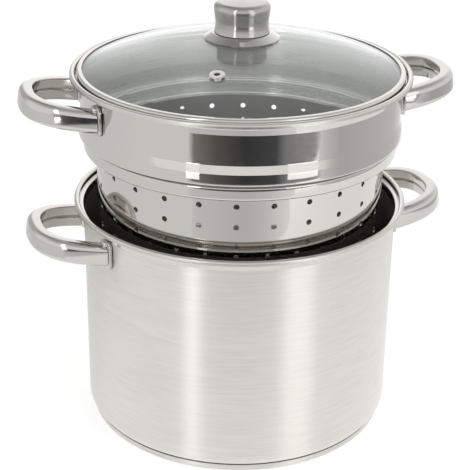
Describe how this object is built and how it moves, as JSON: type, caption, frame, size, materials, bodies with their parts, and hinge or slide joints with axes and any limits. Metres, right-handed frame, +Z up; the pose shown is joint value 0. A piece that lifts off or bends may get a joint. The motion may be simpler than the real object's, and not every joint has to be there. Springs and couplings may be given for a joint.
{
  "type": "pasta pot",
  "caption": "Stainless steel stockpot with loop handles, a lift-out perforated pasta insert with its own handles, and a domed glass lid with a steel rim, vent and knob.",
  "frame": {"origin": "centre of the underside of the base, on the surface that the pot stands on", "axes": "+Z up along the pot's axis, X through the pot's handles, Y through the open front and back"},
  "size_m": [0.3586, 0.275, 0.3566],
  "materials": {
    "brushed_steel": "stainless steel brushed round the wall",
    "polished_steel": "mirror-polished stainless steel",
    "satin_steel": "satin stainless steel",
    "base_aluminium": "bare disc closed inside the base",
    "lid_glass": "clear tempered glass",
    "knob_core": "moulded heat-resistant resin, hidden in the knob",
    "gasket": "silicone ring under the knob's brim"
  },
  "bodies": {
    "pot": {"pot_body": "brushed_steel", "pot_base_core": "base_aluminium", "pot_base_cap": "satin_steel", "pot_handle_left": "polished_steel", "pot_handle_right": "polished_steel", "pot_bracket_left_front": "satin_steel", "pot_bracket_left_back": "satin_steel", "pot_bracket_right_front": "satin_steel", "pot_bracket_right_back": "satin_steel"},
    "insert": {"insert_collar": "polished_steel", "insert_basket": "polished_steel", "insert_handle_left": "polished_steel", "insert_handle_right": "polished_steel", "insert_bracket_left_front": "satin_steel", "insert_bracket_left_back": "satin_steel", "insert_bracket_right_front": "satin_steel", "insert_bracket_right_back": "satin_steel"},
    "lid": {"lid_glass": "lid_glass", "lid_rim": "polished_steel", "lid_vent_eyelet": "polished_steel", "knob_shell": "satin_steel", "knob_core": "knob_core", "knob_brim": "polished_steel", "knob_gasket": "gasket", "knob_washer": "satin_steel", "knob_screw": "satin_steel"}
  },
  "joints": [
    {"name": "insert_lift", "type": "slide", "parent": "pot", "child": "insert", "axis": [0, 0, 1], "range_m": [-0.062, 0.1]},
    {"name": "lid_lift", "type": "slide", "parent": "insert", "child": "lid", "axis": [0, 0, 1], "range_m": [0, 0.12]}
  ]
}
